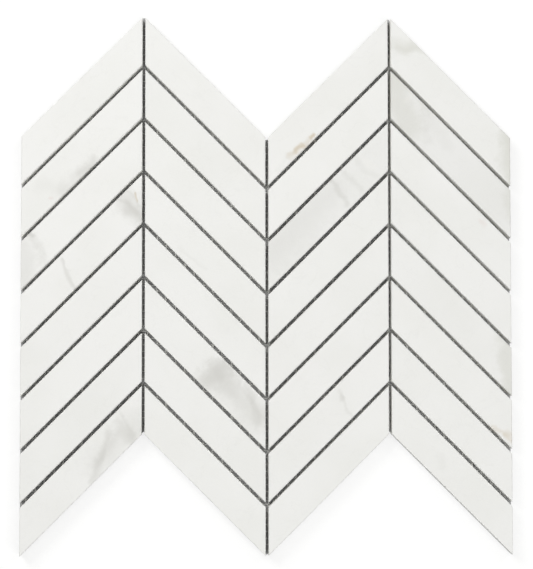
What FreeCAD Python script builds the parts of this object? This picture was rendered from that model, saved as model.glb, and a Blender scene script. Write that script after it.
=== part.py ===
import FreeCAD, Part
import math
import os

# Chevron mosaic sheet of marble slats on a glass-fibre net, in millimetres.
# It lies face up: +Z out of the face, +Y towards the peaks, +X to the right.
# The origin is at the middle of the sheet, on the underside of the net.

# Marble slats
COLUMN_COUNT = 4
SLATS_PER_COLUMN = 8
COLUMN_WIDTH = 72.2  # level across a column, between its two plumb edges
SLAT_WIDTH = 20.4  # square across a slat, between its two long edges
SLAT_THICKNESS = 9.5
CLIMB_ANGLE = 45.0  # degrees that a slat climbs above level
ARRIS = 0.4  # chamfer ground round the face of each slat
SLOPING_JOINT_WIDTH = 2.0  # open joint between two slats of a column, square across
PLUMB_JOINT_WIDTH = 1.8  # open joint between two columns

# Glass-fibre net
WARP_PITCH = 5.6  # between the centre lines of upright yarns
WARP_WIDTH = 0.6
WEFT_PITCH = 4.0  # between the centre lines of level yarns
WEFT_WIDTH = 0.5
WEFT_OFFSET = 0.4  # height of one weft above the middle of the sheet
YARN_THICKNESS = 0.2  # each yarn is pressed flat
NET_MARGIN = 1.5  # how far the net's cut edge lies inside the slats' outline

# Sizes that follow from those above
CLIMB = math.tan(math.radians(CLIMB_ANGLE))
PLUMB_OVER_SQUARE = 1.0 / math.cos(math.radians(CLIMB_ANGLE))
SLAT_PLUMB_HEIGHT = SLAT_WIDTH * PLUMB_OVER_SQUARE
JOINT_PLUMB_HEIGHT = SLOPING_JOINT_WIDTH * PLUMB_OVER_SQUARE
ROW_PITCH = SLAT_PLUMB_HEIGHT + JOINT_PLUMB_HEIGHT
COLUMN_PITCH = COLUMN_WIDTH + PLUMB_JOINT_WIDTH
SHEET_WIDTH = COLUMN_COUNT * COLUMN_PITCH - PLUMB_JOINT_WIDTH
COLUMN_HEIGHT = SLATS_PER_COLUMN * ROW_PITCH - JOINT_PLUMB_HEIGHT
SHEET_HEIGHT = COLUMN_HEIGHT + COLUMN_WIDTH * CLIMB
SLAT_BACK = 2 * YARN_THICKNESS  # the slats sit on the warps, and the warps on the wefts
NET_HALF_WIDTH = SHEET_WIDTH / 2 - NET_MARGIN
NET_PLUMB_MARGIN = NET_MARGIN * PLUMB_OVER_SQUARE
FIRST_JOINT_LINE = -COLUMN_COUNT * COLUMN_PITCH / 2  # half a joint outside the left edge
SAME_PLACE = 1e-6


def foot_line(x):
    """Height of the sheet's zigzag lower edge at x."""
    columns_along = (x - FIRST_JOINT_LINE) / COLUMN_PITCH
    share_climbed = 1.0 - abs(1.0 - columns_along % 2.0)
    half_joint_rise = CLIMB * PLUMB_JOINT_WIDTH / 2
    return CLIMB * COLUMN_PITCH * share_climbed - half_joint_rise - SHEET_HEIGHT / 2


def head_line(x):
    """Height of the sheet's zigzag upper edge at x."""
    return foot_line(x) + COLUMN_HEIGHT


def prism(outline, bottom, thickness):
    """Solid with a level outline, standing on the height bottom."""
    corners = [FreeCAD.Vector(x, y, bottom) for x, y in outline]
    face = Part.Face(Part.makePolygon(corners + corners[:1]))
    return face.extrude(FreeCAD.Vector(0, 0, thickness))


def slat(column, row):
    """One marble slat: a sawn parallelogram with an arris ground round its face."""
    left = column * COLUMN_PITCH - SHEET_WIDTH / 2
    right = left + COLUMN_WIDTH
    lift = (SLATS_PER_COLUMN - 1 - row) * ROW_PITCH
    left_foot = foot_line(left) + lift
    right_foot = foot_line(right) + lift
    outline = [
        (left, left_foot),
        (right, right_foot),
        (right, right_foot + SLAT_PLUMB_HEIGHT),
        (left, left_foot + SLAT_PLUMB_HEIGHT),
    ]
    blank = prism(outline, SLAT_BACK, SLAT_THICKNESS)
    face_edges = [edge for edge in blank.Edges if edge.BoundBox.ZMin > SLAT_BACK]
    return blank.makeChamfer(ARRIS, face_edges)


def net_cutter():
    """The zigzag area that the net fills, through both layers of yarn."""
    joint_lines = [FIRST_JOINT_LINE + k * COLUMN_PITCH for k in range(1, COLUMN_COUNT)]
    stations = [-NET_HALF_WIDTH] + joint_lines + [NET_HALF_WIDTH]
    foot = [(x, foot_line(x) + NET_PLUMB_MARGIN) for x in stations]
    head = [(x, head_line(x) - NET_PLUMB_MARGIN) for x in reversed(stations)]
    return prism(foot + head, 0, SLAT_BACK)


def centre_lines(anchor, pitch, reach):
    """Places of the yarns that lie within reach of the middle, one of them at the anchor."""
    first = math.ceil((-reach - anchor) / pitch)
    last = math.floor((reach - anchor) / pitch)
    return [anchor + k * pitch for k in range(first, last + 1)]


def warps(cutter):
    """The upright yarns, sorted by the column of slats that each lies under."""
    last_joint_line = FIRST_JOINT_LINE + (COLUMN_COUNT - 1) * COLUMN_PITCH
    sorted_yarns = {}
    for x in centre_lines(last_joint_line, WARP_PITCH, NET_HALF_WIDTH - WARP_WIDTH / 2):
        yarn = Part.makeBox(
            WARP_WIDTH,
            SHEET_HEIGHT,
            YARN_THICKNESS,
            FreeCAD.Vector(x - WARP_WIDTH / 2, -SHEET_HEIGHT / 2, YARN_THICKNESS),
        )
        column = math.floor((x + SAME_PLACE - FIRST_JOINT_LINE) / COLUMN_PITCH) + 1
        name = f"net_warps_col{column}"
        sorted_yarns.setdefault(name, []).extend(yarn.common(cutter).Solids)
    return sorted_yarns


def weft_zone(x, y):
    """Name the part of the net that a level yarn lies in, by the middle of the yarn."""
    peak_line = -COLUMN_PITCH  # the joint line under the left peak
    if y > head_line(0) - NET_PLUMB_MARGIN:
        return "net_wefts_left_peak" if x < 0 else "net_wefts_right_peak"
    if y > foot_line(peak_line) + NET_PLUMB_MARGIN:
        return "net_wefts_middle"
    if abs(x) < COLUMN_PITCH:
        return "net_wefts_centre_foot"
    return "net_wefts_left_foot" if x < 0 else "net_wefts_right_foot"


def wefts(cutter):
    """The level yarns, in the zones that the zigzag edge divides them into."""
    sorted_yarns = {}
    for y in centre_lines(WEFT_OFFSET, WEFT_PITCH, SHEET_HEIGHT / 2):
        yarn = Part.makeBox(
            SHEET_WIDTH,
            WEFT_WIDTH,
            YARN_THICKNESS,
            FreeCAD.Vector(-SHEET_WIDTH / 2, y - WEFT_WIDTH / 2, 0),
        )
        for piece in yarn.common(cutter).Solids:
            if piece.BoundBox.XLength < WARP_PITCH:
                continue  # a stub this short crosses no warp, and would fall out
            name = weft_zone(piece.CenterOfMass.x, y)
            sorted_yarns.setdefault(name, []).append(piece)
    return sorted_yarns


def all_nodes():
    """Every node of the sheet: its name and its solids."""
    nodes = {}
    for column in range(COLUMN_COUNT):
        for row in range(SLATS_PER_COLUMN):
            nodes[f"slat_col{column + 1}_row{row + 1}"] = [slat(column, row)]
    cutter = net_cutter()
    nodes.update(warps(cutter))
    nodes.update(wefts(cutter))
    return nodes


def save(name, solids):
    """Write one node, as a solid or as a group of solids that don't touch."""
    shape = solids[0] if len(solids) == 1 else Part.makeCompound(solids)
    shape.exportStep(f"parts/{name}.step")


os.makedirs("parts", exist_ok=True)
for node_name, node_solids in all_nodes().items():
    save(node_name, node_solids)
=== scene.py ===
import math
import random

import bpy
import numpy as np
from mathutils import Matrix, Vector


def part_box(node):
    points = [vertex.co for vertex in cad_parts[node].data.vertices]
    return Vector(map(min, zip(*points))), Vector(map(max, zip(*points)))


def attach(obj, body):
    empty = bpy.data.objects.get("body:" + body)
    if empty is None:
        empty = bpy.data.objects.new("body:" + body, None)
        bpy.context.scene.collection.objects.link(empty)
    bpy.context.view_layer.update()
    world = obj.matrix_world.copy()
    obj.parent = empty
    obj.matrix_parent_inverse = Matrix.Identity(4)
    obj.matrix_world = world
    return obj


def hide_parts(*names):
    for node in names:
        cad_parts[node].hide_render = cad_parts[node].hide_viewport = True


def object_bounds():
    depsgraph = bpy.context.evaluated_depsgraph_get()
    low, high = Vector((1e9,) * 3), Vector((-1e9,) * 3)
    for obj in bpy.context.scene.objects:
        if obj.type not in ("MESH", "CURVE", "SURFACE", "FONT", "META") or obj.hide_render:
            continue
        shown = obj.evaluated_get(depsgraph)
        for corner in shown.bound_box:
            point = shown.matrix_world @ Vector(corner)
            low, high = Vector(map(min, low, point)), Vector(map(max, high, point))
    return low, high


# A marble chevron mosaic sheet, lying face up on a white floor and seen from above.
# Everything is in metres, in the part's own frame: +Z out of the faces, +Y towards the peaks.

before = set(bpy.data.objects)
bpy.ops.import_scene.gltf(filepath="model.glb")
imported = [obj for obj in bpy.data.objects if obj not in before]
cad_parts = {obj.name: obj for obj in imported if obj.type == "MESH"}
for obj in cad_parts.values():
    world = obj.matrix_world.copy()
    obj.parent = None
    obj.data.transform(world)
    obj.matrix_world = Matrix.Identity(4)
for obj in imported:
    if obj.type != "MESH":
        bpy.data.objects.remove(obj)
cad_low, cad_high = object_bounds()

MM = 0.001

# The photo's frame, in its own pixels
PHOTO_WIDTH = 533
PHOTO_HEIGHT = 569
SHEET_PIXELS_WIDE = 490.8
SHEET_CENTRE_X = 267.0
SHEET_CENTRE_Y = 285.2

# Camera
CAMERA_HEIGHT = 1.05  # above the slats' faces
CAMERA_X = -0.036
CAMERA_Y = -0.048
SENSOR = 36.0  # millimetres along the photo's long side

# Sizes read from the part
FACE_HEIGHT = cad_high.z
SHEET_WIDTH = cad_high.x - cad_low.x
METRES_PER_PIXEL = SHEET_WIDTH / SHEET_PIXELS_WIDE
COLUMN_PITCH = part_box("slat_col2_row1")[0].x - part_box("slat_col1_row1")[0].x
COLUMN_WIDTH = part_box("slat_col1_row1")[1].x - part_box("slat_col1_row1")[0].x
HALF_JOINT = (COLUMN_PITCH - COLUMN_WIDTH) / 2
FIRST_JOINT_LINE = -2 * COLUMN_PITCH  # half a joint outside the sheet's left edge

# Woven net
NET_SEED = 7
BAR_GAP = 1 * MM  # bars of one layer lie further apart than this
WARP_STRAND_HALF_WIDTH = 0.36 * MM
WARP_STRAND_SWING = 0.30 * MM  # each strand of a pair moves this far to either side
PAIR_LIFT = 1.2  # half thicknesses from the net's middle to a strand, where a pair crosses itself
WEFT_LIFT = 2.0  # the same, where the pair holds a weft
WEFT_HALF_WIDTH = 0.22 * MM
WEFT_STEP = 3 * MM  # from one ring of a weft to the next
LEAST_RINGS = 3
HEIGHT_DIGITS = 6  # wefts whose heights agree to this many decimals lie on one line
STRAND_SIDES = 6
STRAND_STEPS = 4  # rings of a warp strand from one weft to the next
YARN_WANDER = 0.22 * MM  # how far a yarn strays from its straight line
WANDER_LENGTH = 31 * MM
WANDER_SPREAD = (0.7, 1.4)  # least and most of that length, from yarn to yarn

# Colours, linear
STONE_WHITE = (0.884, 0.883, 0.857)
STONE_CLOUD = (0.856, 0.856, 0.824)
SMOKE_GREY = (0.43, 0.42, 0.38)
SMOKE_OLIVE = (0.46, 0.46, 0.37)
RUST = (0.43, 0.28, 0.07)
PINK = (0.62, 0.40, 0.34)
PALE = (0.93, 0.91, 0.86)
GLUE = (0.84, 0.83, 0.77)
YARN_WHITE = (0.92, 0.92, 0.90)
FLOOR_WHITE = (0.36, 0.36, 0.355)
# The card's grey below is painted shade, which darkens the bottoms of the joints
SHADE_CARD_GREY = (0.50, 0.50, 0.50)
FULL_WHITE = (1, 1, 1)

# Shares of a colour: how dark its fine grain goes, and how much of another shows over it
SLAT_TONES = (0.99, 1.0)  # least and most, from slat to slat
FIBRE_SHADE = 0.85
FLOOR_SHADE = 0.97
CARD_SHADE = 0.7
SAWN_TONE = 1.03  # sawn stone is a little whiter than the ground face
SAW_CONTRAST = 0.08
HAIR_STRENGTH = 0.035
GRAIN_STRENGTH = 0.03
GLUE_COVER = 0.5
RESIN_COVER = 0.5

# Noises: cells to a metre, detail, and roughness
NOISES = {
    "cloud": (22, 4, 0.55),
    "hair": (31, 5, 0.6),
    "grain": (1900, 2, 0.6),
    "mark_bend": (70, 2, 0.5),
    "mark_edge": (210, 4, 0.6),
    "side_saw": (1900, 3, 0.65),
    "back_saw": (900, 3, 0.6),
    "glue": (75, 3, 0.5),
    "sheen": (45, 3, 0.6),
    "wave": (120, 2, 0.5),
    "nick": (2300, 2, 0.6),
    "fibre": (4000, 2, 0.6),
    "resin": (350, 3, 0.6),
    "floor": (900, 3, 0.6),
    "shade_card": (700, 3, 0.6),
}
# The part of a noise that is stretched from 0 to 1
BANDS = {
    "cloud": (0.35, 0.7),
    "grain": (0.3, 0.7),
    "mark_edge": (0.3, 0.7),
    "glue": (0.47, 0.53),
    "nick": (0.42, 0.36),
    "resin": (0.4, 0.65),
}
NOISE_MIDDLE = 0.5
HAIR_DISTORTION = 0.4
HAIR_HALF_WIDTH = 0.012  # in the noise's own measure
SLAB_REACH = 5  # each slat is cut from its own place of the noise, up to this far away

# Surfaces of a slat, told apart by how far up the normal points: where each starts and is full
FACE_NORMAL = (0.85, 0.95)
SAWN_NORMAL = (0.6, 0.5)
BACK_NORMAL = (-0.5, -0.6)
ARRIS_ROUNDING = 1.2  # how far the arris's shading leans up towards the face's

# Saw marks: how the noise is turned and squeezed into strokes
SIDE_STROKE_TURN = (0.3, 0.2, 0)
SIDE_STROKE_SCALE = (1, 1, 0.05)
BACK_STROKE_TURNS = (0.6, 1.0)  # least and most, to either side
BACK_STROKE_SCALE = (0.04, 1, 1)

# Roughness, and the gloss of the stone
FACE_ROUGHNESS = 0.31
FACE_ROUGHNESS_SPREAD = 0.10
ARRIS_ROUGHNESS = 0.45
SAWN_ROUGHNESS = 0.72
GLUE_ROUGHNESS = 0.25
YARN_ROUGHNESS = 0.5
RESIN_SMOOTHING = 0.2
STONE_SPECULAR = 0.2  # under real marble's, so that the faces don't clip in low views

# Heights of the relief, in millimetres
WAVE_HEIGHT = 0.006
NICK_DEPTH = 0.02
SAW_MARK_HEIGHT = 0.05
GLUE_HEIGHT = 0.08
FIBRE_HEIGHT = 0.03

# Marks
MARK_BEND = 10 * MM  # a mark's line strays by up to half of this
MARK_NEAREST = 0.7  # a distance from the line counts at least this many times
MARK_RAGGED = 0.45  # and at most this much more, which makes the edge ragged

# Stage
FLOOR_REACH = 3.0  # from the middle to each edge
FLOOR_DROP = 0.3 * MM  # under the sheet
FLOOR_GLOW = 0.68
GLOW_FADE = (0.3, 1.5)  # the glow rises to full white between these distances from the middle
# The grey card and its tabs are painted shade: they darken the joints where the camera sees the
# floor
CARD_DROP = 0.05 * MM
CARD_PLUMB_MARGIN = 0.56 * MM  # inside the sloping edges of the sheet, measured plumb
CARD_REACH = 0.7 * MM  # outside its plumb edges
TAB_DROP = 0.1 * MM
TAB_REACH = 0.5 * MM  # how far the card reaches out at the upper ends of the plumb joints
TAB_LENGTH = 6 * HALF_JOINT

# Lamps: azimuth, with 0 to the right and 90 to the top, elevation, and power in watts
LAMPS = {
    "key": (135, 42, 10.1),
    "fill_top_left": (135, 65, 2.9),
    "fill_below": (270, 65, 3.4),
    "fill_low": (315, 65, 1.0),
    "fill_top_right": (45, 42, 3.3),
    "fill_right": (45, 65, 2.1),
    "rim_right": (315, 42, 5.3),
    "rim_left": (225, 42, 1.5),
}
LAMP_SIZE = 0.7
LAMP_DISTANCE = 1.5
SKY_STRENGTH = 0.05

# Sockets of the Mix node by its kind of data: share, first, second, and result
MIX_SOCKETS = {"RGBA": (0, 6, 7, 2), "FLOAT": (0, 2, 3, 0)}


def put(tree, kind, inputs=None, **settings):
    """Add a shader node; an input that is a socket is linked, and any other is set."""
    node = tree.nodes.new(kind)
    for key, value in settings.items():
        setattr(node, key, value)
    for key, value in (inputs or {}).items():
        socket = node.inputs[key]
        if isinstance(value, bpy.types.NodeSocket):
            tree.links.new(value, socket)
        elif socket.type == "RGBA":
            socket.default_value = (*value, 1.0)
        else:
            socket.default_value = value
    return node


def new_material(name):
    """An empty node material, its tree and its output node."""
    material = bpy.data.materials.new(name)
    material.use_nodes = True
    tree = material.node_tree
    tree.nodes.clear()
    return material, tree, put(tree, "ShaderNodeOutputMaterial")


def maths(tree, operation, first, second=0.0, third=0.0):
    """One Math node's result."""
    inputs = {0: first, 1: second, 2: third}
    return put(tree, "ShaderNodeMath", inputs, operation=operation).outputs[0]


def vectors(tree, operation, *values, result="Vector", **inputs):
    """One Vector Math node's result; further inputs are given by name."""
    inputs.update(enumerate(values))
    return put(tree, "ShaderNodeVectorMath", inputs, operation=operation).outputs[result]


def ramp(tree, value, low, high):
    """0 at low and 1 at high, smooth between them, and clamped; low may be the larger."""
    inputs = {"Value": value, "From Min": low, "From Max": high}
    node = put(tree, "ShaderNodeMapRange", inputs, interpolation_type="SMOOTHSTEP")
    return node.outputs["Result"]


def mapping(tree, where, **settings):
    """A place that is moved, turned and scaled."""
    return put(tree, "ShaderNodeMapping", {"Vector": where, **settings}).outputs[0]


def noise(tree, where, kind, distortion=0.0, result="Fac"):
    """One of the noises, as a value or as a colour."""
    scale, detail, roughness = NOISES[kind]
    inputs = {
        "Vector": where,
        "Scale": scale,
        "Detail": detail,
        "Roughness": roughness,
        "Distortion": distortion,
    }
    return put(tree, "ShaderNodeTexNoise", inputs).outputs[result]


def band(tree, where, kind):
    """One of the noises, with its band stretched from 0 to 1."""
    return ramp(tree, noise(tree, where, kind), *BANDS[kind])


def blend(tree, share, first, second, data_type="RGBA"):
    """Mix two colours; share 1 is the second."""
    share_at, first_at, second_at, result_at = MIX_SOCKETS[data_type]
    inputs = {share_at: share, first_at: first, second_at: second}
    return put(tree, "ShaderNodeMix", inputs, data_type=data_type).outputs[result_at]


def blend_values(tree, share, first, second):
    """Mix two values; share 1 is the second."""
    return blend(tree, share, first, second, data_type="FLOAT")


def shaded(colour, share):
    """A colour made darker."""
    return tuple(channel * share for channel in colour)


def relief(tree, height, **inputs):
    """The normal over a relief whose height is in millimetres."""
    inputs.update({"Height": height, "Strength": 1.0, "Distance": MM})
    return put(tree, "ShaderNodeBump", inputs).outputs[0]


def away_from_line(tree, where, start, end):
    """Distance from a line between two places on the sheet, which are given in millimetres."""
    ax, ay = start[0] * MM, start[1] * MM
    bx, by = end[0] * MM, end[1] * MM
    length = math.hypot(bx - ax, by - ay)
    along = ((bx - ax) / length, (by - ay) / length, 0)
    from_start = vectors(tree, "SUBTRACT", where, (ax, ay, 0))
    reach = vectors(tree, "DOT_PRODUCT", from_start, along, result="Value")
    held = put(tree, "ShaderNodeClamp", {"Value": reach, "Min": 0.0, "Max": length}).outputs[0]
    nearest = vectors(tree, "SCALE", along, Scale=held)
    away = vectors(tree, "SUBTRACT", from_start, nearest)
    level = vectors(tree, "MULTIPLY", away, (1, 1, 0))
    return vectors(tree, "LENGTH", level, result="Value")


# Kinds of mark: colour, and the share of the half width where the edge starts to fade
KINDS = {
    "smoke": (SMOKE_GREY, 0.0),
    "olive": (SMOKE_OLIVE, 0.1),
    "vein": (SMOKE_GREY, 0.0),
    "rust": (RUST, 0.0),
    "pink": (PINK, 0.0),
    "pale": (PALE, 0.0),
}

# Marks on the slats, one by one: kind, start and end on the sheet in millimetres
# from its middle, half width, and strength.
MARKS = {
    "slat_col1_row2": [
        ("smoke", (-121, 57), (-106, 71), 6, 0.17),
        ("smoke", (-110, 68), (-105, 73), 4.5, 0.20),
        ("smoke", (-135, 60), (-120, 56), 7, 0.07),
        ("pink", (-129, 51), (-128, 51), 1.8, 0.15),
    ],
    "slat_col1_row3": [
        ("smoke", (-149, 24), (-143, 0), 13, 0.19),
        ("smoke", (-142, 31), (-134, 14), 3.6, 0.14),
        ("smoke", (-141, 31), (-140.5, 30.5), 2.2, 0.3),
    ],
    "slat_col1_row4": [
        ("vein", (-124, 15), (-114, -3), 1.9, 0.26),
        ("smoke", (-92, 58), (-75, 42), 10, 0.24),
        ("smoke", (-84, 47), (-75, 41), 5, 0.22),
        ("vein", (-90, 54), (-77, 43), 2.0, 0.16),
        ("vein", (-84, 57), (-75, 47), 1.6, 0.14),
        ("rust", (-78.5, 54), (-76.5, 50), 1.6, 0.3),
    ],
    "slat_col1_row8": [
        ("smoke", (-103, -116), (-95, -86), 3.6, 0.20),
        ("smoke", (-100, -104), (-92, -92), 5, 0.14),
        ("smoke", (-101, -106), (-80, -82), 13, 0.14),
        ("smoke", (-88, -84), (-80, -92), 6, 0.16),
        ("vein", (-86, -78), (-79, -94), 2.4, 0.14),
    ],
    "slat_col2_row3": [("smoke", (-34, 8), (-24, 12), 5, 0.05)],
    "slat_col2_row4": [("vein", (-51, 21), (-36, 11), 1.8, 0.06)],
    "slat_col2_row6": [
        ("smoke", (-36, -58), (-24, -49), 9, 0.24),
        ("smoke", (-31, -49), (-22, -61), 8, 0.15),
        ("smoke", (-30, -56), (-5, -78), 14, 0.22),
        ("vein", (-11, -58), (-6, -81), 4.2, 0.18),
        ("vein", (-16, -58), (-9, -70), 2.4, 0.10),
    ],
    "slat_col3_row1": [
        ("smoke", (8, 70), (14, 77), 3, 0.06),
        ("rust", (14.5, 77.5), (28.5, 90.5), 2.8, 0.20),
        ("rust", (16.5, 80.5), (20.5, 84), 2.4, 0.30),
        ("rust", (26.5, 89), (28.5, 90.5), 2.0, 0.30),
    ],
    "slat_col3_row3": [
        ("smoke", (6, 22), (40, 58), 16, 0.13),
        ("vein", (39, 62), (49, 48), 2.4, 0.20),
        ("vein", (46, 70), (57, 57), 3.4, 0.12),
        ("vein", (55, 76), (66, 66), 3.0, 0.08),
        ("pale", (58, 77), (65, 72), 2.4, 0.12),
    ],
    "slat_col3_row7": [
        ("smoke", (43.2, -66), (43.8, -67), 2.4, 0.24),
        ("vein", (43, -63), (50, -78), 1.6, 0.14),
    ],
    "slat_col4_row1": [
        ("olive", (74, 146.5), (97, 144.5), 6, 0.15),
        ("olive", (80, 144.5), (97, 143.5), 3.4, 0.15),
        ("olive", (146, 92), (148, 58), 8, 0.32),
    ],
    "slat_col4_row2": [
        ("olive", (76, 126), (87, 94), 12, 0.22),
        ("pale", (84, 112), (89, 122), 2.5, 0.12),
        ("smoke", (92, 118), (98, 88), 4, 0.10),
        ("smoke", (98, 108), (108, 84), 5, 0.08),
        ("olive", (146, 72), (148, 44), 8, 0.16),
    ],
    "slat_col4_row3": [("pink", (130.5, 37.5), (131.5, 37), 2.6, 0.14)],
    "slat_col4_row5": [("olive", (144, -30), (147, -66), 9, 0.26)],
    "slat_col4_row6": [
        ("rust", (135, -86.5), (148, -90), 3.4, 0.18),
        ("rust", (141, -90), (148, -94), 2.6, 0.20),
    ],
    "slat_col4_row8": [("smoke", (104, -104), (105, -109), 5, 0.07)],
}
# Slats whose whole face is greyer: share of the stone's colour
GREY_SLATS = {"slat_col3_row3": 0.965, "slat_col4_row2": 0.95, "slat_col4_row5": 0.99}


def stone_body(tree, slab, tone):
    """White stone, faintly clouded, with a fine grain and a few hair veins."""
    clouds = band(tree, slab, "cloud")
    colour = blend(tree, clouds, shaded(STONE_WHITE, tone), shaded(STONE_CLOUD, tone))
    ridge = noise(tree, slab, "hair", HAIR_DISTORTION)
    from_ridge = maths(tree, "ABSOLUTE", maths(tree, "SUBTRACT", ridge, NOISE_MIDDLE))
    hair = maths(tree, "MULTIPLY", ramp(tree, from_ridge, HAIR_HALF_WIDTH, 0.0), HAIR_STRENGTH)
    colour = blend(tree, hair, colour, SMOKE_GREY)
    grain = maths(tree, "MULTIPLY", band(tree, slab, "grain"), GRAIN_STRENGTH)
    return blend(tree, grain, colour, SMOKE_GREY)


def with_marks(tree, colour, here, slab, marks):
    """The stone's colour with one slat's marks laid over it."""
    if not marks:
        return colour
    bend = noise(tree, here, "mark_bend", result="Color")
    centred = vectors(tree, "SUBTRACT", bend, (NOISE_MIDDLE,) * 3)
    bent = vectors(tree, "MULTIPLY_ADD", centred, (MARK_BEND, MARK_BEND, 0.0), here)
    edge = band(tree, slab, "mark_edge")
    ragged = maths(tree, "MULTIPLY_ADD", edge, MARK_RAGGED, MARK_NEAREST)
    for kind, start, end, half_width, strength in marks:
        tint, core = KINDS[kind]
        distance = maths(tree, "MULTIPLY", away_from_line(tree, bent, start, end), ragged)
        mask = ramp(tree, distance, half_width * MM, half_width * core * MM)
        share = maths(tree, "MULTIPLY", mask, strength)
        colour = blend(tree, share, colour, tint)
    return colour


def saw_strokes(tree, here, under, dice):
    """Saw marks: fine upright ones on the sides, and long strokes across the back."""
    upright = mapping(tree, here, Rotation=SIDE_STROKE_TURN, Scale=SIDE_STROKE_SCALE)
    turn = dice.uniform(*BACK_STROKE_TURNS) * dice.choice((-1, 1))
    swept = mapping(tree, here, Rotation=(0.0, 0.0, turn), Scale=BACK_STROKE_SCALE)
    on_side = noise(tree, upright, "side_saw")
    on_back = noise(tree, swept, "back_saw")
    return blend_values(tree, under, on_side, on_back)


def stone_roughness(tree, slab, level, sawn, glue):
    """Polished face, ground arris, dull sawn stone, and glossy glue."""
    sheen = noise(tree, slab, "sheen")
    polished = maths(tree, "MULTIPLY_ADD", sheen, FACE_ROUGHNESS_SPREAD, FACE_ROUGHNESS)
    rough = blend_values(tree, level, ARRIS_ROUGHNESS, polished)
    rough = blend_values(tree, sawn, rough, SAWN_ROUGHNESS)
    return blend_values(tree, glue, rough, GLUE_ROUGHNESS)


def stone_height(tree, slab, level, sawn, saw_marks, glue):
    """Relief in millimetres: a faintly wavy face, nicks in the arris, saw marks, and glue."""
    waves = maths(tree, "MULTIPLY", noise(tree, slab, "wave"), WAVE_HEIGHT)
    nicks = maths(tree, "MULTIPLY", band(tree, slab, "nick"), -NICK_DEPTH)
    height = blend_values(tree, level, nicks, waves)
    strokes = maths(tree, "MULTIPLY", saw_marks, SAW_MARK_HEIGHT)
    height = blend_values(tree, sawn, height, strokes)
    return maths(tree, "MULTIPLY_ADD", glue, GLUE_HEIGHT, height)


def rounded_normal(tree, level, sawn):
    """The surface's normal, which leans up on the arris as if its edges were worn round."""
    not_level = maths(tree, "SUBTRACT", 1.0, level)
    not_sawn = maths(tree, "SUBTRACT", 1.0, sawn)
    on_arris = maths(tree, "MULTIPLY", not_level, not_sawn)
    lean = maths(tree, "MULTIPLY", on_arris, ARRIS_ROUNDING)
    lift = put(tree, "ShaderNodeCombineXYZ", {"Z": lean}).outputs[0]
    true_normal = put(tree, "ShaderNodeNewGeometry").outputs["Normal"]
    return vectors(tree, "NORMALIZE", vectors(tree, "ADD", true_normal, lift))


def marble(name, seed):
    """Polished white marble with a ground arris, sawn sides and a sawn back with glue on it."""
    material, tree, output = new_material(f"marble_{name}")
    dice = random.Random(seed)
    coordinates = put(tree, "ShaderNodeTexCoord").outputs
    here = coordinates["Object"]
    shift = tuple(dice.uniform(-SLAB_REACH, SLAB_REACH) for _ in range(3))
    turn = (0.0, 0.0, dice.uniform(0, math.tau))
    slab = mapping(tree, here, Location=shift, Rotation=turn)
    tone = GREY_SLATS.get(name, 1.0) * dice.uniform(*SLAT_TONES)

    up = put(tree, "ShaderNodeSeparateXYZ", {"Vector": coordinates["Normal"]}).outputs["Z"]
    level = ramp(tree, up, *FACE_NORMAL)
    sawn = ramp(tree, up, *SAWN_NORMAL)
    under = ramp(tree, up, *BACK_NORMAL)
    saw_marks = saw_strokes(tree, here, under, dice)
    glue = maths(tree, "MULTIPLY", band(tree, slab, "glue"), under)

    colour = with_marks(tree, stone_body(tree, slab, tone), here, slab, MARKS.get(name, []))
    whitening = maths(tree, "MULTIPLY_ADD", saw_marks, SAW_CONTRAST, SAWN_TONE)
    colour = blend(tree, sawn, colour, vectors(tree, "SCALE", colour, Scale=whitening))
    colour = blend(tree, maths(tree, "MULTIPLY", glue, GLUE_COVER), colour, GLUE)
    height = stone_height(tree, slab, level, sawn, saw_marks, glue)
    inputs = {
        "Base Color": colour,
        "Roughness": stone_roughness(tree, slab, level, sawn, glue),
        "Normal": relief(tree, height, Normal=rounded_normal(tree, level, sawn)),
        "Specular IOR Level": STONE_SPECULAR,
    }
    surface = put(tree, "ShaderNodeBsdfPrincipled", inputs)
    tree.links.new(surface.outputs[0], output.inputs[0])
    return material


def glass_yarn():
    """White glass-fibre yarn in a clear resin coat."""
    material, tree, output = new_material("glass_yarn")
    here = put(tree, "ShaderNodeTexCoord").outputs["Object"]
    fibres = noise(tree, here, "fibre")
    resin = band(tree, here, "resin")
    colour = blend(tree, fibres, YARN_WHITE, shaded(YARN_WHITE, FIBRE_SHADE))
    inputs = {
        "Base Color": blend(tree, maths(tree, "MULTIPLY", resin, RESIN_COVER), colour, GLUE),
        "Roughness": maths(tree, "MULTIPLY_ADD", resin, -RESIN_SMOOTHING, YARN_ROUGHNESS),
        "Normal": relief(tree, maths(tree, "MULTIPLY", fibres, FIBRE_HEIGHT)),
    }
    surface = put(tree, "ShaderNodeBsdfPrincipled", inputs)
    tree.links.new(surface.outputs[0], output.inputs[0])
    return material


def add_object(name, data):
    """A new object in the scene."""
    thing = bpy.data.objects.new(name, data)
    bpy.context.scene.collection.objects.link(thing)
    return thing


def bars(node, across):
    """The flat bars of one net node: the place across, start and end of each."""
    corners = np.array([vertex.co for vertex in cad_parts[node].data.vertices])
    corners = corners[np.argsort(corners[:, across])]
    breaks = np.flatnonzero(np.diff(corners[:, across]) > BAR_GAP) + 1
    found = []
    for group in np.split(corners, breaks):
        sides = group[:, across]
        along = group[:, 1 - across]
        found.append(((sides.min() + sides.max()) / 2, along.min(), along.max()))
    return found


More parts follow.
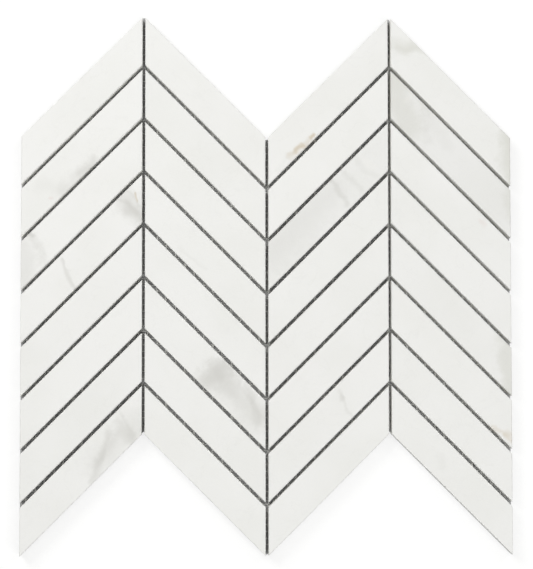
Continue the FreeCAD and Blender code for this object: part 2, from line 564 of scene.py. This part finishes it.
def strand(path, sideways, half_width, half_thickness, base):
    """Vertices and faces of one flattened strand along a path."""
    around = np.arange(STRAND_SIDES) * math.tau / STRAND_SIDES
    side = np.outer(np.cos(around), sideways) * half_width
    rise = np.outer(np.sin(around), (0, 0, 1)) * half_thickness
    vertices = (path[:, None] + side[None] + rise[None]).reshape(-1, 3)
    faces = []
    for step in range(len(path) - 1):
        for k in range(STRAND_SIDES):
            a = base + step * STRAND_SIDES + k
            b = base + step * STRAND_SIDES + (k + 1) % STRAND_SIDES
            faces.append((a, b, b + STRAND_SIDES, a + STRAND_SIDES))
    last = base + (len(path) - 1) * STRAND_SIDES
    faces.append(tuple(range(base + STRAND_SIDES - 1, base - 1, -1)))
    faces.append(tuple(range(last, last + STRAND_SIDES)))
    return vertices, faces


def wander(dice, along):
    """A yarn's slow sideways stray along its length."""
    phase = dice.uniform(0, math.tau)
    stretch = WANDER_LENGTH * dice.uniform(*WANDER_SPREAD)
    return YARN_WANDER * np.sin(along / stretch * math.tau + phase)


def mesh_piece(name, strands, material, nodes):
    """One mesh of many strands, which stands in for nodes of the net."""
    all_vertices = []
    all_faces = []
    count = 0
    for path, sideways, half_width, half_thickness in strands:
        vertices, faces = strand(path, sideways, half_width, half_thickness, count)
        all_vertices.append(vertices)
        all_faces.extend(faces)
        count += len(vertices)
    mesh = bpy.data.meshes.new(name)
    mesh.from_pydata(np.concatenate(all_vertices).tolist(), [], all_faces)
    mesh.shade_smooth()
    mesh.materials.append(material)
    piece = add_object(name, mesh)
    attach(piece, "root")
    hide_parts(*nodes)


def woven_net():
    """The net: straight level yarns, and between them pairs of upright strands that twist."""
    material = glass_yarn()
    weft_nodes = sorted(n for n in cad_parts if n.startswith("net_wefts"))
    warp_nodes = sorted(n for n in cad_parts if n.startswith("net_warps"))
    net_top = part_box(warp_nodes[0])[1].z
    middle = net_top / 2
    half_thickness = net_top / 6  # three strands lie over each other at a crossing
    dice = random.Random(NET_SEED)
    wefts = []
    heights = set()
    for node in weft_nodes:
        for y, left, right in bars(node, across=1):
            rings = max(LEAST_RINGS, round((right - left) / WEFT_STEP))
            x = np.linspace(left, right, rings)
            path = np.stack([x, y + wander(dice, x), np.full_like(x, middle)], axis=1)
            wefts.append((path, (0, 1, 0), WEFT_HALF_WIDTH, half_thickness))
            heights.add(round(y, HEIGHT_DIGITS))
    mesh_piece("woven_wefts", wefts, material, weft_nodes)
    heights = sorted(heights)
    pitch = heights[1] - heights[0]
    for node in warp_nodes:
        pairs = []
        for x, foot, head in bars(node, across=0):
            rings = round((head - foot) / pitch * STRAND_STEPS)
            y = np.linspace(foot, head, rings)
            stray = x + wander(dice, y)
            swing = np.cos((y - heights[0]) / pitch * math.pi)
            lift = half_thickness * (PAIR_LIFT + (WEFT_LIFT - PAIR_LIFT) * np.abs(swing))
            for sign in (1, -1):
                across = stray + sign * swing * WARP_STRAND_SWING
                path = np.stack([across, y, middle + sign * lift], axis=1)
                pairs.append((path, (1, 0, 0), WARP_STRAND_HALF_WIDTH, half_thickness))
        mesh_piece(node.replace("net", "woven"), pairs, material, [node])


def zigzag(x):
    """How far the sheet's zigzag edge has climbed at x, above its lowest joint line."""
    columns_along = (x - FIRST_JOINT_LINE) / COLUMN_PITCH
    return COLUMN_PITCH * (1 - abs(1 - columns_along % 2))


def seen_by_eye(tree):
    """1 for a ray from the camera, for a mirrored ray and for one through glass."""
    path = put(tree, "ShaderNodeLightPath").outputs
    seen = maths(tree, "MAXIMUM", path["Is Camera Ray"], path["Is Glossy Ray"])
    return maths(tree, "MAXIMUM", seen, path["Is Transmission Ray"])


def matt(tree, here, kind, colour, shade):
    """A matt surface with a fine grain, whose darkest is a share of its colour."""
    grained = blend(tree, noise(tree, here, kind), colour, shaded(colour, shade))
    return put(tree, "ShaderNodeBsdfDiffuse", {"Color": grained}).outputs[0]


def floor_material():
    """Matt white floor; its glow whitens it to the eye and keeps the shadow."""
    material, tree, output = new_material("floor_white")
    here = put(tree, "ShaderNodeTexCoord").outputs["Object"]
    outward = vectors(tree, "LENGTH", here, result="Value")
    glow = blend_values(tree, ramp(tree, outward, *GLOW_FADE), FLOOR_GLOW, 1.0)
    strength = maths(tree, "MULTIPLY", seen_by_eye(tree), glow)
    light = put(tree, "ShaderNodeEmission", {"Strength": strength}).outputs[0]
    surface = matt(tree, here, "floor", FLOOR_WHITE, FLOOR_SHADE)
    both = put(tree, "ShaderNodeAddShader", {0: surface, 1: light})
    tree.links.new(both.outputs[0], output.inputs[0])
    return material


def shade_card_material():
    """Grey matt card under the sheet, which shows only in its joints, where it is painted shade.
    """
    material, tree, output = new_material("painted_shade_card")
    here = put(tree, "ShaderNodeTexCoord").outputs["Object"]
    surface = matt(tree, here, "shade_card", SHADE_CARD_GREY, CARD_SHADE)
    tree.links.new(surface, output.inputs[0])
    return material


def stage_sheet(name, corners, height, material):
    """A level sheet of the stage, with the corners given in turn."""
    mesh = bpy.data.meshes.new(name)
    mesh.from_pydata([(x, y, height) for x, y in corners], [], [tuple(range(len(corners)))])
    mesh.materials.append(material)
    piece = add_object(name, mesh)


def rectangle(left, right, low, high):
    """The four corners of a rectangle."""
    return [(left, low), (right, low), (right, high), (left, high)]


def white_floor():
    """A wide floor under everything."""
    square = rectangle(-FLOOR_REACH, FLOOR_REACH, -FLOOR_REACH, FLOOR_REACH)
    stage_sheet("floor", square, -FLOOR_DROP, floor_material())


def lay_shade_card():
    """A grey card of painted shade that fills the sheet's outline, with a tab past the upper end
    of each plumb joint.
    """
    material = shade_card_material()
    joint_lines = (-COLUMN_PITCH, 0.0, COLUMN_PITCH)
    stations = [cad_low.x - CARD_REACH, *joint_lines, cad_high.x + CARD_REACH]
    foot_start = cad_low.y - HALF_JOINT
    head_start = cad_high.y + HALF_JOINT - COLUMN_PITCH
    foot = [(x, foot_start + zigzag(x) + CARD_PLUMB_MARGIN) for x in stations]
    head = [(x, head_start + zigzag(x) - CARD_PLUMB_MARGIN) for x in reversed(stations)]
    stage_sheet("shade_card", foot + head, -CARD_DROP, material)
    for number, x in enumerate(joint_lines, start=1):
        # The camera looks aslant through a joint, so it sees the floor this far to one side; each
        # tab covers that floor with painted shade.
        aside = FACE_HEIGHT / CAMERA_HEIGHT * (x - CAMERA_X)
        left = x + max(0.0, aside) - HALF_JOINT
        right = x + min(0.0, aside) + HALF_JOINT
        high = head_start + zigzag(x) + TAB_REACH
        tab = rectangle(left, right, high - TAB_LENGTH, high)
        stage_sheet(f"shade_card_tab{number}", tab, -TAB_DROP, material)


def area_light(name, azimuth, elevation, power):
    """A soft lamp that points at the sheet."""
    a, e = math.radians(azimuth), math.radians(elevation)
    away = Vector((math.cos(a) * math.cos(e), math.sin(a) * math.cos(e), math.sin(e)))
    lamp = bpy.data.lights.new(name, "AREA")
    lamp.energy = power
    lamp.size = LAMP_SIZE
    holder = add_object(name, lamp)
    holder.location = away * LAMP_DISTANCE
    holder.rotation_mode = "QUATERNION"
    holder.rotation_quaternion = away.to_track_quat("Z", "Y")


def sky():
    """Faint even light from all round, which the eye sees as white."""
    world = bpy.data.worlds.new("sky")
    world.use_nodes = True
    tree = world.node_tree
    tree.nodes.clear()
    light = put(tree, "ShaderNodeBackground", {"Color": FULL_WHITE, "Strength": SKY_STRENGTH})
    seen = put(tree, "ShaderNodeBackground", {"Color": FULL_WHITE, "Strength": 1.0})
    inputs = {0: seen_by_eye(tree), 1: light.outputs[0], 2: seen.outputs[0]}
    both = put(tree, "ShaderNodeMixShader", inputs)
    put(tree, "ShaderNodeOutputWorld", {0: both.outputs[0]})
    bpy.context.scene.world = world


def camera():
    """The photo's view: down onto the sheet, from a little left of its middle and below it."""
    aim_x = (PHOTO_WIDTH / 2 - SHEET_CENTRE_X) * METRES_PER_PIXEL
    aim_y = (SHEET_CENTRE_Y - PHOTO_HEIGHT / 2) * METRES_PER_PIXEL
    aim = Vector((aim_x, aim_y, FACE_HEIGHT))
    place = Vector((CAMERA_X, CAMERA_Y, FACE_HEIGHT + CAMERA_HEIGHT))
    data = bpy.data.cameras.new("camera")
    data.sensor_width = SENSOR
    data.lens = SENSOR * (aim - place).length / (PHOTO_HEIGHT * METRES_PER_PIXEL)
    holder = add_object("camera", data)
    holder.location = place
    holder.rotation_mode = "QUATERNION"
    holder.rotation_quaternion = Vector((0, 0, -1)).rotation_difference(aim - place)
    bpy.context.scene.camera = holder


def dress_slats():
    """Give every slat its own marble."""
    slats = sorted(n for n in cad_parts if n.startswith("slat"))
    for seed, name in enumerate(slats):
        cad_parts[name].material_slots[0].material = marble(name, seed)


camera()
dress_slats()
woven_net()
white_floor()
lay_shade_card()
sky()
for lamp_name, settings in LAMPS.items():
    area_light(lamp_name, *settings)
bpy.context.scene.view_settings.view_transform = "Standard"
